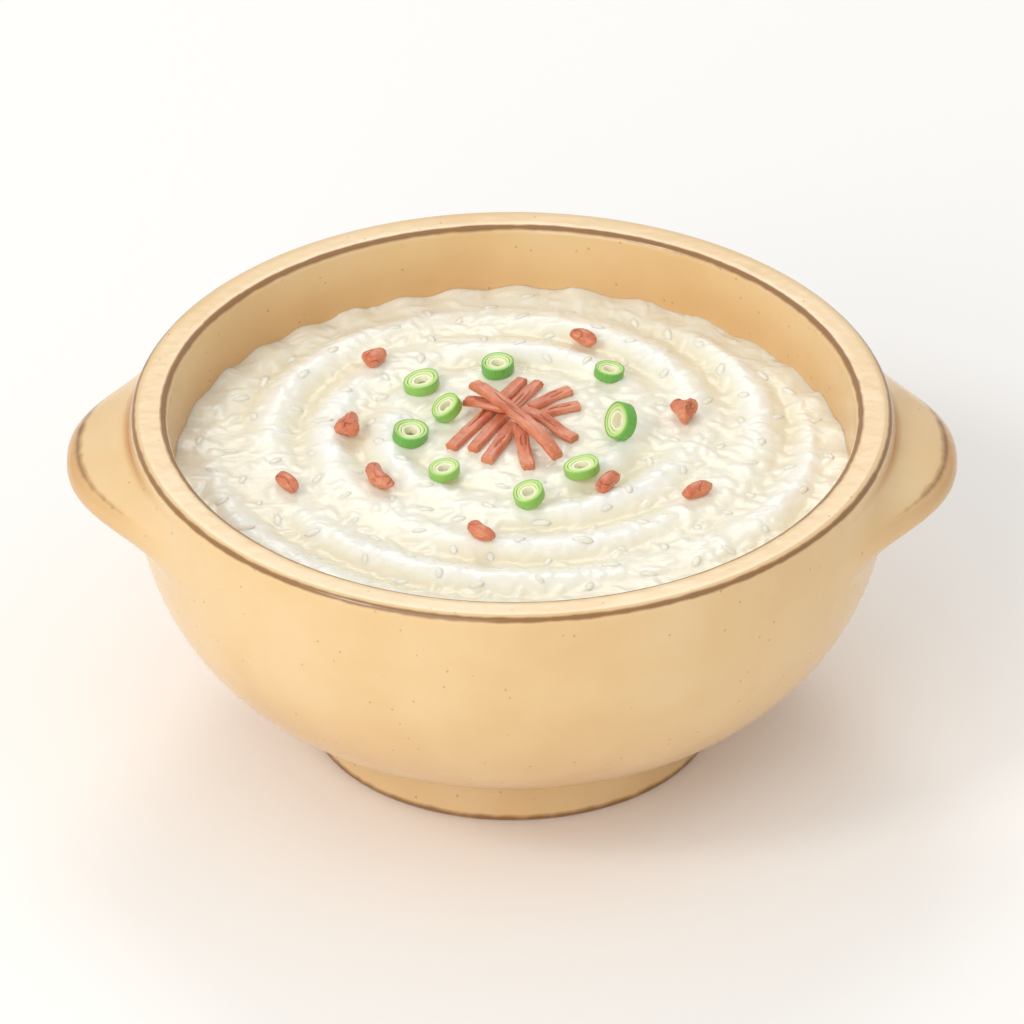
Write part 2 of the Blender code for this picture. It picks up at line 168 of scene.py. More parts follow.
# The ham's skin, and its relief as (height, waves in each mm along the fibres, waves in each mm across). The
# fold is a pattern and not a height. Each piece reads the noise at its own place, one shift further on.
STRIP_VOXEL = 0.17 * MM
STRIP_ROUNDING = 4
STRIP_SHIFT = 17.3
STRIP_FIBRE = (0.07 * MM, 0.15, 2.4)
STRIP_LUMP = (0.13 * MM, 0.35, 0.5)
STRIP_END = (0.16 * MM, 1.6, 1.6)
STRIP_END_LENGTH = 1.2 * MM
STRIP_CREASES = 2
STRIP_CREASE_DEPTH = 0.22 * MM
STRIP_CREASE_WIDTH = 0.16 * MM
# How dark the strips' creases are painted, as painted shade.
STRIP_CREASE_PAINTED_SHADE = 0.75
BIT_VOXEL = 0.2 * MM
BIT_ROUNDING = 6
BIT_SHIFT = 31.7
BIT_LUMP = (0.22 * MM, 0.32, 0.45)
BIT_FIBRE = (0.06 * MM, 0.25, 1.8)
BIT_FOLD = (1, 0.22, 0.3)
BIT_FOLD_WIDTH = 0.035
BIT_CREASE_DEPTH = 0.25 * MM
# How dark the bits' folds are painted, as painted shade.
BIT_CREASE_PAINTED_SHADE = 0.6

# Each leaf of a spring onion ring: its inner and outer radius as shares of the ring's, and how far its cut
# lies below the ring's, in mm.
ONION_HOLE = 0.4
ONION_LEAVES = [(0.77, 1.0, 0), (0.575, 0.75, 0.12), (ONION_HOLE, 0.56, 0.3)]
DEEP_GREEN_RINGS = (3, 5, 6, 7)
LEAF_COLUMNS = 72
LEAF_EDGE = 0.14 * MM
LEAF_WAVE = 0.015
INNER_LEAF_OVAL = 0.08
CUT_SLOPE = 0.1 * MM
CUT_WAVE = 0.05 * MM

# The patterns of the finishes, by the real size of what repeats in them.
GLAZE_CLOUD = 28 * MM
GLAZE_PEEL = 6 * MM
RAGGED_BREAK = 4 * MM
IRON_SPECK_SPACING = 4.2 * MM
PORRIDGE_CLOUD = 9 * MM
PORRIDGE_PULP = 1.6 * MM
HAM_PATCH = 3.5 * MM
HAM_FIBRES_ALONG = 0.12 / MM
HAM_FIBRES_ACROSS = 1.9 / MM
LEAF_VEIN = 0.5 * MM

# The drawing has no perspective, so the camera looks from far away through a long lens.
CAMERA_ELEVATION = math.radians(32.7)
CAMERA_DISTANCE = 8
CAMERA_TARGET = Vector((0, 0, 55.9 * MM))
SEEN_WIDTH = 241.9 * MM
FLOOR_SIDE = 28
ROOM_LIGHT = 0.66

# Each soft light: its place, its side in metres, its power in watts and its colour.
SOFTBOXES = {
    "key light": ((-1.3, -0.9, 1.6), 0.5, 8, "#FFFDF9"),
    "soft light": ((-1.1, -1.9, 1.3), 1.8, 20, "#FFFFFF"),
    "back light": ((-0.1, 1.6, 1.6), 0.8, 9, "#FFFFFF"),
}


# Small helpers


def linear(code):
    """An sRGB hex value as a linear colour."""
    parts = [int(code[i : i + 2], 16) / 255 for i in (1, 3, 5)]
    return (*[p / 12.92 if p <= 0.04045 else ((p + 0.055) / 1.055) ** 2.4 for p in parts], 1)


def add_node(tree, kind, inputs=(), **settings):
    """Adds a node. Each input is a value, or an output of another node that it is linked to."""
    node = tree.nodes.new(kind)
    for name, value in settings.items():
        setattr(node, name, value)
    for key, value in dict(inputs).items():
        if isinstance(value, bpy.types.NodeSocket):
            tree.links.new(value, node.inputs[key])
        else:
            node.inputs[key].default_value = value
    return node


def blend(a, b, share):
    return a + (b - a) * share


def smooth_step(value, low, high):
    share = np.clip((value - low) / (high - low), 0, 1)
    return share * share * (3 - 2 * share)


def peak(value, strength, middle, width):
    """The given strength at the middle, fading to 0 on both sides."""
    return strength * math.exp(-(((value - middle) / width) ** 2))


def new_object(name, mesh):
    obj = bpy.data.objects.new(name, mesh)
    bpy.context.scene.collection.objects.link(obj)
    return obj


def hand_over(obj, slot, *nodes):
    """Gives a finished piece to the frame: it rides on the one body and stands for its CAD nodes."""
    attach(obj, "root")
    if nodes:
        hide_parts(*nodes)


def store(mesh, name, values):
    """Keeps a number, or a vector, for each point of a mesh."""
    values = np.asarray(values, np.float32)
    kind, field = ("FLOAT", "value") if values.ndim == 1 else ("FLOAT_VECTOR", "vector")
    mesh.attributes.new(name, kind, "POINT").data.foreach_set(field, values.ravel())


def read_points(mesh):
    points = np.zeros(len(mesh.vertices) * 3, np.float32)
    mesh.vertices.foreach_get("co", points)
    return points.reshape(-1, 3).astype(float)


def read_normals(mesh):
    normals = np.zeros(len(mesh.vertices) * 3, np.float32)
    mesh.vertex_normals.foreach_get("vector", normals)
    return normals.reshape(-1, 3).astype(float)


def write_points(mesh, points):
    mesh.vertices.foreach_set("co", np.asarray(points, np.float32).ravel())
    mesh.update()


def face_outwards(mesh):
    bm = bmesh.new()
    bm.from_mesh(mesh)
    bmesh.ops.recalc_face_normals(bm, faces=bm.faces)
    bm.to_mesh(mesh)
    bm.free()


def new_tree(name, sizes):
    """A Geometry Nodes tree with a geometry input and a named input for each of its sizes."""
    tree = bpy.data.node_groups.new(name, "GeometryNodeTree")
    tree.interface.new_socket("Geometry", in_out="INPUT", socket_type="NodeSocketGeometry")
    for label, kind in sizes.items():
        tree.interface.new_socket(label, in_out="INPUT", socket_type="NodeSocket" + kind)
    tree.interface.new_socket("Geometry", in_out="OUTPUT", socket_type="NodeSocketGeometry")
    return tree, tree.nodes.new("NodeGroupInput").outputs


def evaluated_copy(carrier):
    """A plain mesh of what an object's modifiers make. The object itself is removed."""
    graph = bpy.context.evaluated_depsgraph_get()
    made = bpy.data.meshes.new_from_object(carrier.evaluated_get(graph))
    bpy.data.objects.remove(carrier)
    return made


def grow(name, mesh, tree, values):
    """Runs a tree on a mesh, with the given values for its inputs, and returns a plain object."""
    carrier = new_object(name + "_source", mesh)
    modifier = carrier.modifiers.new("shape", "NODES")
    modifier.node_group = tree
    for socket in tree.interface.items_tree:
        if socket.in_out == "INPUT" and socket.name in values:
            modifier[socket.identifier] = values[socket.name]
    return new_object(name, evaluated_copy(carrier))


# Materials

# A Map Range takes its value at 0, the range it comes from at 1 and 2, and the range it goes to at 3 and 4.
# A colour Mix takes its share at 0 and its two colours at 6 and 7, and gives the result at 2.


def new_material(name, settings):
    """A material whose shader has the given values set on its own sockets."""
    material = bpy.data.materials.new(name)
    material.use_nodes = True
    shader = material.node_tree.nodes["Principled BSDF"]
    for socket, value in settings.items():
        shader.inputs[socket].default_value = value
    return material, material.node_tree, shader


def connect(tree, shader, outputs):
    for socket, output in outputs.items():
        tree.links.new(output, shader.inputs[socket])


def make_glaze():
    """Stoneware under a glossy sand-coloured ash glaze.

    The glaze is paler where the layer is thin, honey brown where it pools, breaks to dark brown over sharp
    edges, and carries fine iron specks. The same pale and honey tones also paint light on the lug tops and
    the rim, and paint shade under the lugs, low on the body and on the inner wall. The foot's edge is wiped
    bare and dry.
    """
    gloss = 0.2
    dry = 0.8
    material, tree, shader = new_material("ash glazed stoneware", {"Roughness": gloss, "IOR": 1.5})
    place = add_node(tree, "ShaderNodeTexCoord").outputs["Object"]
    finish = add_node(tree, "ShaderNodeAttribute", attribute_name="finish").outputs["Vector"]
    broken, depth, bare = add_node(tree, "ShaderNodeSeparateXYZ", {0: finish}).outputs

    cloud = add_node(tree, "ShaderNodeTexNoise", {"Vector": place, "Scale": 1 / GLAZE_CLOUD, "Detail": 4})
    drift = add_node(tree, "ShaderNodeMapRange", {0: cloud.outputs[0], 1: 0.35, 2: 0.7, 3: -0.12, 4: 0.12})
    depth = add_node(tree, "ShaderNodeMath", {0: depth, 1: drift.outputs[0]}, operation="ADD").outputs[0]
    # Below 0 the depth gives the pale tone and above 0 the honey tone; each is partly glaze and partly
    # painted light or shade.
    pale = add_node(tree, "ShaderNodeMapRange", {0: depth, 1: 0, 2: -1}).outputs[0]
    pooled_and_painted_shade = add_node(tree, "ShaderNodeMapRange", {0: depth, 1: 0, 2: 1}).outputs[0]

    ragged = add_node(tree, "ShaderNodeTexNoise", {"Vector": place, "Scale": 1 / RAGGED_BREAK, "Detail": 1})
    spread = {0: ragged.outputs[0], 1: 0.5, 2: -0.25}
    ragged = add_node(tree, "ShaderNodeMath", spread, operation="MULTIPLY_ADD")
    ragged = add_node(tree, "ShaderNodeMath", {0: broken, 1: ragged.outputs[0]}, operation="ADD")
    broken = add_node(tree, "ShaderNodeMapRange", {0: ragged.outputs[0], 1: 0.3, 2: 0.8, 4: 0.85}).outputs[0]

    specks = add_node(tree, "ShaderNodeTexVoronoi", {"Vector": place, "Scale": 1 / IRON_SPECK_SPACING})
    speck = add_node(tree, "ShaderNodeMapRange", {0: specks.outputs[0], 1: 0.1, 2: 0.055, 4: 0.4}).outputs[0]

    colour = linear("#E8C48E")
    for share, tone in (
        # The pale tone is thin glaze and painted light; the honey tone is pooled glaze and painted shade.
        (pale, "#F8E9C8"),
        (pooled_and_painted_shade, "#C28440"),
        (broken, "#84552C"),
        (speck, "#9A6433"),
        (bare, "#B58A5F"),
    ):
        tones = {0: share, 6: colour, 7: linear(tone)}
        colour = add_node(tree, "ShaderNodeMix", tones, data_type="RGBA").outputs[2]

    rough = add_node(tree, "ShaderNodeMapRange", {0: bare, 3: gloss, 4: dry}).outputs[0]
    peel = add_node(tree, "ShaderNodeTexNoise", {"Vector": place, "Scale": 1 / GLAZE_PEEL, "Detail": 2})
    relief = {"Height": peel.outputs[0], "Strength": 0.12, "Distance": 1 * MM}
    bump = add_node(tree, "ShaderNodeBump", relief).outputs[0]
    connect(tree, shader, {"Base Color": colour, "Roughness": rough, "Normal": bump})
    return material


def make_porridge():
    """Rice boiled to a thick porridge: milky starch that lets light in a little, with a wet skin.

    The ridges that stirring left are painted whiter as painted highlight, and the hollows between them a
    little darker and more yellow as painted shade.
    """
    material, tree, shader = new_material(
        "thick rice porridge",
        {
            "Roughness": 0.22,
            "IOR": 1.36,
            "Subsurface Weight": 0.5,
            "Subsurface Radius": (1.0, 0.9, 0.65),
            "Subsurface Scale": 1.6 * MM,
        },
    )
    place = add_node(tree, "ShaderNodeTexCoord").outputs["Object"]
    ridge = add_node(tree, "ShaderNodeAttribute", attribute_name="ridge").outputs["Fac"]
    cloud = add_node(tree, "ShaderNodeTexNoise", {"Vector": place, "Scale": 1 / PORRIDGE_CLOUD, "Detail": 3})
    cloudy = {0: cloud.outputs[0], 1: 0.6, 2: ridge}
    height = add_node(tree, "ShaderNodeMath", cloudy, operation="MULTIPLY_ADD").outputs[0]
    share = add_node(tree, "ShaderNodeMapRange", {0: height, 1: -0.3, 2: 0.95}).outputs[0]
    # The yellow tone is painted shade in the swirl's hollows and the white one painted highlight on its
    # crests.
    tones = {0: share, 6: linear("#EEE5C8"), 7: linear("#FAF9EE")}
    colour = add_node(tree, "ShaderNodeMix", tones, data_type="RGBA").outputs[2]
    pulp = add_node(tree, "ShaderNodeTexNoise", {"Vector": place, "Scale": 1 / PORRIDGE_PULP, "Detail": 3})
    relief = {"Height": pulp.outputs[0], "Strength": 0.22, "Distance": 0.5 * MM}
    bump = add_node(tree, "ShaderNodeBump", relief).outputs[0]
    connect(tree, shader, {"Base Color": colour, "Normal": bump})
    return material


def make_grain_material():
    """A swollen rice grain: nearly as white as the porridge's ridges, firmer than they are, and smooth."""
    material, _, _ = new_material(
        "swollen rice grain",
        {
            "Base Color": linear("#F6F1DE"),
            "Roughness": 0.28,
            "IOR": 1.38,
            "Subsurface Weight": 0.5,
            "Subsurface Radius": (1.0, 0.85, 0.6),
            "Subsurface Scale": 1.2 * MM,
        },
    )
    return material


def make_ham_material():
    """Cooked cured ham: moist pink-brown meat with its fibres along the cut and thin seams of fat."""
    material, tree, shader = new_material(
        "cured ham",
        {
            "Roughness": 0.36,
            "IOR": 1.4,
            "Subsurface Weight": 0.2,
            "Subsurface Radius": (1.0, 0.35, 0.2),
            "Subsurface Scale": 1.0 * MM,
        },
    )
    place = add_node(tree, "ShaderNodeAttribute", attribute_name="grain").outputs["Vector"]
    crease = add_node(tree, "ShaderNodeAttribute", attribute_name="crease").outputs["Fac"]
    fibre_scale = (HAM_FIBRES_ALONG, HAM_FIBRES_ACROSS, HAM_FIBRES_ACROSS)
    fibre_place = add_node(tree, "ShaderNodeMapping", {"Vector": place, "Scale": fibre_scale}).outputs[0]
    fibre = add_node(tree, "ShaderNodeTexNoise", {"Vector": fibre_place, "Scale": 1, "Detail": 3}).outputs[0]
    patch = add_node(tree, "ShaderNodeTexNoise", {"Vector": place, "Scale": 1 / HAM_PATCH, "Detail": 2})
    fresh = add_node(tree, "ShaderNodeMapRange", {0: patch.outputs[0], 1: 0.35, 2: 0.7}).outputs[0]
    fat = add_node(tree, "ShaderNodeMapRange", {0: fibre, 1: 0.54, 2: 0.7, 4: 0.6}).outputs[0]

    colour = linear("#CF7555")
    # The crease tone darkens the creases and folds as painted shade.
    for share, tone in ((fresh, "#E1926F"), (fat, "#EFB294"), (crease, "#8F3F2C")):
        tones = {0: share, 6: colour, 7: linear(tone)}
        colour = add_node(tree, "ShaderNodeMix", tones, data_type="RGBA").outputs[2]

    bump = add_node(tree, "ShaderNodeBump", {"Height": fibre, "Strength": 0.45, "Distance": 0.25 * MM})
    connect(tree, shader, {"Base Color": colour, "Normal": bump.outputs[0]})
    return material


def make_leaf_material():
    """Fresh spring onion leaf: a waxy green skin with fine veins along it, and a pale juicy cut."""
    material, tree, shader = new_material(
        "spring onion leaf",
        {
            "Roughness": 0.32,
            "IOR": 1.4,
            "Subsurface Weight": 0.25,
            "Subsurface Radius": (0.5, 1.0, 0.3),
            "Subsurface Scale": 0.8 * MM,
        },
    )
    into = add_node(tree, "ShaderNodeAttribute", attribute_name="into_wall").outputs["Fac"]
    deep = add_node(tree, "ShaderNodeAttribute", attribute_name="deep").outputs["Fac"]
    around = add_node(tree, "ShaderNodeAttribute", attribute_name="around").outputs["Vector"]
    veins = {"Vector": around, "Scale": 1 / LEAF_VEIN, "Detail": 2}
    vein = add_node(tree, "ShaderNodeTexNoise", veins).outputs[0]
    veined = add_node(tree, "ShaderNodeMapRange", {0: vein, 1: 0.35, 2: 0.75, 4: 0.4}).outputs[0]
    skin = linear("#9CCB66")
    for share, tone in ((deep, "#6DB655"), (veined, "#9CC864")):
        tones = {0: share, 6: skin, 7: linear(tone)}
        skin = add_node(tree, "ShaderNodeMix", tones, data_type="RGBA").outputs[2]

    inner = add_node(tree, "ShaderNodeMapRange", {0: into, 1: 0.3, 2: 1}).outputs[0]
    tones = {0: inner, 6: linear("#C9E78B"), 7: linear("#F8F8D8")}
    flesh = add_node(tree, "ShaderNodeMix", tones, data_type="RGBA").outputs[2]
    cut = add_node(tree, "ShaderNodeMapRange", {0: into, 1: 0.1, 2: 0.3}).outputs[0]
    colour = add_node(tree, "ShaderNodeMix", {0: cut, 6: skin, 7: flesh}, data_type="RGBA").outputs[2]
    bump = add_node(tree, "ShaderNodeBump", {"Height": vein, "Strength": 0.25, "Distance": 0.15 * MM})
    connect(tree, shader, {"Base Color": colour, "Normal": bump.outputs[0]})
    return material


def make_paper():
    """Matt pale studio paper: even and without gloss."""
    settings = {"Base Color": linear("#FDFCFA"), "Roughness": 0.9, "IOR": 1.5, "Specular IOR Level": 0.1}
    return new_material("matt studio paper", settings)[0]


# The bowl

# A row is (radius, height) and the glaze's finish there, and then the same in the middle of a lug. A finish
# is (how far the glaze breaks to brown, how deep it lies together with painted light and shade, how bare the
# clay is).


def outer_radius(depth):
    return RIM_RADIUS * np.sqrt(1 - (depth / OUTER_DEPTH) ** WALL_POWER)


def inner_radius(depth):
    """The inner wall leans in a little below the rim, where the wall is thicker."""
    lean = INNER_LEAN * smooth_step(depth, 0, LEAN_DEPTH)
    wall = (RIM_RADIUS - RIM_WIDTH) * np.sqrt(np.maximum(0, 1 - (depth / INNER_DEPTH) ** WALL_POWER))
    return np.maximum(0, wall - lean)


def turn_corner(start, corner, end, steps):
    """Points on a smooth turn from start to end that leans towards the corner."""
    points = []
    for k in range(steps + 1):
        share = k / steps
        towards = [blend(a, b, share) for a, b in zip(start, corner)]
        away = [blend(b, c, share) for b, c in zip(corner, end)]
        points.append(tuple(blend(a, b, share) for a, b in zip(towards, away)))
    return points


def straight(start, end, steps):
    """The points between two ends, without the ends."""
    shares = [k / steps for k in range(1, steps)]
    return [(blend(start[0], end[0], share), blend(start[1], end[1], share)) for share in shares]


def foot_outline():
    """From the middle of the recess over the foot ring to the body, as (radius, height)."""
    inside = FOOT_RADIUS - FOOT_WIDTH
    top = FOOT_RADIUS - FOOT_TAPER
    recess_end = (inside - RECESS_FILLET, RECESS_HEIGHT)
    inner_edge = ((inside, FOOT_EDGE), (inside, 0), (inside + FOOT_EDGE, 0))
    outer_edge = ((FOOT_RADIUS - FOOT_EDGE, 0), (FOOT_RADIUS, 0), (FOOT_RADIUS, FOOT_EDGE))
    wall_end = (top, FOOT_HEIGHT - FOOT_TAPER)
    body_start = (outer_radius(BODY_START), BOWL_HEIGHT - BODY_START)
    outline = [(0, RECESS_HEIGHT)] + straight((0, RECESS_HEIGHT), recess_end, RECESS_STEPS)
    outline += turn_corner(recess_end, (inside, RECESS_HEIGHT), inner_edge[0], CORNER_STEPS)
    outline += turn_corner(*inner_edge, FOOT_EDGE_STEPS)[1:]
    outline += turn_corner(*outer_edge, FOOT_EDGE_STEPS)
    outline += straight(outer_edge[-1], wall_end, FOOT_STEPS)
    outline += turn_corner(wall_end, (top, FOOT_HEIGHT), body_start, CORNER_STEPS)
    return outline


def plain_row(radius, height, broken=0, deep=0, bare=0):
    """A row that is the same on the wall and in the middle of a lug."""
    return ((radius, height), (broken, deep, bare)) * 2


def foot_rows():
    rows = []
    for radius, height in foot_outline():
        outside = radius > FOOT_RADIUS - FOOT_WIDTH / 2
        broken = peak(height, *FOOT_BREAK) if outside else 0
        bare = 1 if height < BARE_HEIGHT else 0
        rows.append(plain_row(radius, height, broken, peak(height, *FOOT_POOL), bare))
    return rows


def body_rows():
    """Up the wall to the lugs, darker towards the foot as painted shade."""
    rows = []
    for depth in np.arange(BODY_START, LUG_BOTTOM, -ROW_SPACING)[1:]:
        # Painted shade that grows towards the foot, plus glaze pooled where the body meets the foot.
        deep = BODY_LOW_PAINTED_SHADE * smooth_step(depth, LUG_BOTTOM, BODY_START) + peak(depth, *BODY_POOL)
        rows.append(plain_row(outer_radius(depth), BOWL_HEIGHT - depth, deep=deep))
    return rows


def lug_rows():
    """Over the lug: paler on top as painted light, broken to brown along its ridge, darker below it as
    painted shade, and deeper in the fold behind.
    """
    nose = (LUG_REACH, LUG_NOSE)
    under = [Vector((*spot, 0)) for spot in ((0, LUG_BOTTOM), *LUG_UNDER, nose)]
    over = [Vector((*spot, 0)) for spot in (nose, *LUG_OVER, (0, LUG_TOP))]
    section = interpolate_bezier(*under, LUG_ROWS) + interpolate_bezier(*over, LUG_ROWS)[1:]
    rows = []
    for k, point in enumerate(section):
        share = k / (len(section) - 1)
        depth = blend(LUG_BOTTOM, LUG_TOP, share)
        spot = (outer_radius(depth), BOWL_HEIGHT - depth)
        lug_spot = (outer_radius(point.y) + point.x, BOWL_HEIGHT - point.y)
        on_top = smooth_step(share, LUG_RIDGE - LUG_RIDGE_ROUNDING, LUG_RIDGE + LUG_RIDGE_ROUNDING)
        # Painted light on the lug's top and painted shade under it, faded in from where the lug leaves the
        # body.
        deep = blend(LUG_UNDER_PAINTED_SHADE, LUG_TOP_PAINTED_LIGHT, on_top) * smooth_step(share, 0, LUG_PAINTED_SHADE_FADE_IN)
        deep += peak(share, *LUG_POOL)
        rows.append((spot, (0, 0, 0), lug_spot, (peak(share, *LUG_BREAK), deep, 0)))
    return rows


def rim_rows():
    """Over the rim: its rounded outer edge, its flat top and its rounded inner edge."""
    outer_end = RIM_RADIUS - RIM_EDGE_RADIUS
    inner_end = RIM_RADIUS - RIM_WIDTH + RIM_EDGE_RADIUS
    quarter = math.pi / 2
    shares = [k / RIM_EDGE_STEPS for k in range(RIM_EDGE_STEPS + 1)]
    rows = []
    for share in shares:
        turn = quarter * share
        radius = outer_end + RIM_EDGE_RADIUS * math.cos(turn)
        height = BOWL_HEIGHT - RIM_EDGE_RADIUS * (1 - math.sin(turn))
        # Paler towards the flat top: thin glaze there, and painted light on the top.
        rows.append(plain_row(radius, height, peak(turn, *RIM_BREAK), RIM_THIN_GLAZE_AND_PAINTED_LIGHT * share))
    for radius, height in straight((outer_end, BOWL_HEIGHT), (inner_end, BOWL_HEIGHT), RIM_TOP_STEPS):
        rows.append(plain_row(radius, height, deep=RIM_THIN_GLAZE_AND_PAINTED_LIGHT))
    for share in shares:
        turn = quarter * share
        radius = inner_end - RIM_EDGE_RADIUS * math.sin(turn)
        height = BOWL_HEIGHT - RIM_EDGE_RADIUS * (1 - math.cos(turn))
        rows.append(plain_row(radius, height, peak(quarter - turn, *INNER_BREAK), RIM_THIN_GLAZE_AND_PAINTED_LIGHT * (1 - share)))
    return rows


def inner_rows():
    """Down the inner wall, darker below the rim as painted shade, to the floor, where the glaze pools."""
    rows = []
    for depth in np.arange(RIM_EDGE_RADIUS + ROW_SPACING, INNER_ROWS_END, 2 * ROW_SPACING):
        # Painted shade on the inner wall, growing below the rim.
        deep = INNER_WALL_PAINTED_SHADE * smooth_step(depth, *INNER_PAINTED_SHADE_DEPTHS)
        rows.append(plain_row(inner_radius(depth), BOWL_HEIGHT - depth, deep=deep))
    rows.append(plain_row(0, BOWL_HEIGHT - INNER_DEPTH, deep=INNER_FLOOR_GLAZE))
    return rows


def turning_tree():
    """Turns a row of profile points round the Z axis and draws the lugs out of the wall on both sides."""
    tree, given = new_tree(
        "turned bowl with lugs",
        {"Columns": "Int", "Lug Spread": "Float", "Lug Fade": "Float", "Glaze": "Material"},
    )
    size = add_node(tree, "GeometryNodeAttributeDomainSize", {0: given["Geometry"]}).outputs[0]
    columns = add_node(tree, "ShaderNodeMath", {0: given["Columns"], 1: 1}, operation="ADD").outputs[0]
    flat = {"Size X": 1, "Size Y": 1, "Vertices X": columns, "Vertices Y": size}
    grid = add_node(tree, "GeometryNodeMeshGrid", flat).outputs[0]
    place = add_node(tree, "GeometryNodeInputPosition").outputs[0]
    spot = add_node(tree, "ShaderNodeSeparateXYZ", {0: place}).outputs
    angle = add_node(tree, "ShaderNodeMath", {0: spot[0], 1: FULL_TURN}, operation="MULTIPLY").outputs[0]
    steps = add_node(tree, "ShaderNodeMath", {0: size, 1: 1}, operation="SUBTRACT").outputs[0]
    share = add_node(tree, "ShaderNodeMath", {0: spot[1], 1: 0.5}, operation="ADD").outputs[0]
    row = add_node(tree, "ShaderNodeMath", {0: share, 1: steps}, operation="MULTIPLY").outputs[0]
    row = add_node(tree, "ShaderNodeMath", {0: row}, operation="ROUND").outputs[0]

    # How much of the lug stands out at this angle: 1 in the middle of either side, fading to 0.
    fade = angle
    for operation, second in (
        ("SINE", 0),
        ("ARCSINE", 0),
        ("ABSOLUTE", 0),
        ("DIVIDE", given["Lug Spread"]),
        ("POWER", given["Lug Fade"]),
        ("MULTIPLY", -1),
        ("EXPONENT", 0),
    ):
        fade = add_node(tree, "ShaderNodeMath", {0: fade, 1: second}, operation=operation).outputs[0]

    def from_row(name):
        """The value that the profile's point of this row carries."""
        kind = "FLOAT_VECTOR"
        field = add_node(tree, "GeometryNodeInputNamedAttribute", {0: name}, data_type=kind).outputs[0]
        values = {"Geometry": given["Geometry"], "Value": field, "Index": row}
        return add_node(tree, "GeometryNodeSampleIndex", values, data_type=kind).outputs[0]

    def across_lug(name, lug_name):
        """The value on the plain wall, which turns into the lug's where that stands out."""
        values = {0: fade, 4: from_row(name), 5: from_row(lug_name)}
        return add_node(tree, "ShaderNodeMix", values, data_type="VECTOR").outputs[1]

    # The finish is stored before the grid is turned, because it is read off by its flat places.
    finished = add_node(
        tree,
        "GeometryNodeStoreNamedAttribute",
        {0: grid, "Name": "finish", "Value": across_lug("finish", "lug_finish")},
        data_type="FLOAT_VECTOR",
        domain="POINT",
    )
    turned = add_node(
        tree,
        "ShaderNodeVectorRotate",
        {"Vector": across_lug("place", "lug_place"), "Angle": angle},
        rotation_type="Z_AXIS",
    )
    moves = {0: finished.outputs[0], "Position": turned.outputs[0]}
    shaped = add_node(tree, "GeometryNodeSetPosition", moves)
    closed = add_node(tree, "GeometryNodeMergeByDistance", {0: shaped.outputs[0], "Distance": 0.001 * MM})
    outwards = add_node(tree, "GeometryNodeFlipFaces", {0: closed.outputs[0]})
    smooth = add_node(tree, "GeometryNodeSetShadeSmooth", {0: outwards.outputs[0]})
    real = add_node(tree, "GeometryNodeRealizeInstances", {0: smooth.outputs[0]})
    glazed = add_node(tree, "GeometryNodeSetMaterial", {0: real.outputs[0], "Material": given["Glaze"]})
    add_node(tree, "NodeGroupOutput", {0: glazed.outputs[0]})
    return tree


def make_bowl(glaze):
    """The bowl's outline from under the foot over the rim to the inner floor, turned round."""
    spots, finishes, lug_spots, lug_finishes = zip(
        *foot_rows(), *body_rows(), *lug_rows(), *rim_rows(), *inner_rows()
    )
    profile = bpy.data.meshes.new("bowl_profile")
    points = [(radius, 0, height) for radius, height in spots]
    profile.from_pydata(points, [(i, i + 1) for i in range(len(points) - 1)], [])
    store(profile, "place", points)
    store(profile, "finish", finishes)
    store(profile, "lug_place", [(radius, 0, height) for radius, height in lug_spots])
    store(profile, "lug_finish", lug_finishes)
    sizes = {"Columns": BOWL_COLUMNS, "Lug Spread": LUG_SPREAD, "Lug Fade": LUG_FADE, "Glaze": glaze}
    bowl = grow("stoneware_bowl", profile, turning_tree(), sizes)
    hand_over(bowl, "glaze", "bowl")


# The congee


def edge_depth(angle):
    """Depth of the congee's uneven edge along the wall."""
    wave = np.sin(EDGE_WAVES * angle + np.sin(3 * angle))
    slope = np.sin(EDGE_SLOPES * angle + 0.7)
    return CONGEE_LEVEL - EDGE_WAVE_HEIGHT * wave - EDGE_SLOPE_HEIGHT * slope


def swirl(x, y):
    """The ridges that stirring left: a spiral, broken into arcs, from -1 to 1."""
    to_wall = inner_radius(CONGEE_LEVEL) - np.hypot(x, y)
    x = x - SWIRL_CENTRE[0]
    y = y - SWIRL_CENTRE[1]
    radius = np.hypot(x, y)
    angle = np.arctan2(y, x)
    fade = smooth_step(radius, SWIRL_START, 1.5 * SWIRL_START)
    fade *= smooth_step(to_wall, SWIRL_MARGIN, 2 * SWIRL_MARGIN)
    breaks = np.sin(SWIRL_BREAKS * angle + FULL_TURN * radius / SWIRL_BREAK_DRIFT)
    arms = np.cos(FULL_TURN * radius / SWIRL_SPACING - SWIRL_ARMS * angle)
    return fade * (0.6 + 0.4 * breaks) * arms


def congee_height(x, y):
    """Height of the congee's surface above the foot."""
    radius = np.hypot(x, y)
    edge_radius = inner_radius(CONGEE_LEVEL)
    climb = smooth_step(radius, CLIMB_START, edge_radius)
    depth = blend(CONGEE_LEVEL, edge_depth(np.arctan2(y, x)), climb)
    dome = CONGEE_DOME * np.maximum(0, 1 - (radius / edge_radius) ** 2)
    return BOWL_HEIGHT - depth + dome + SWIRL_HEIGHT * swirl(x, y)


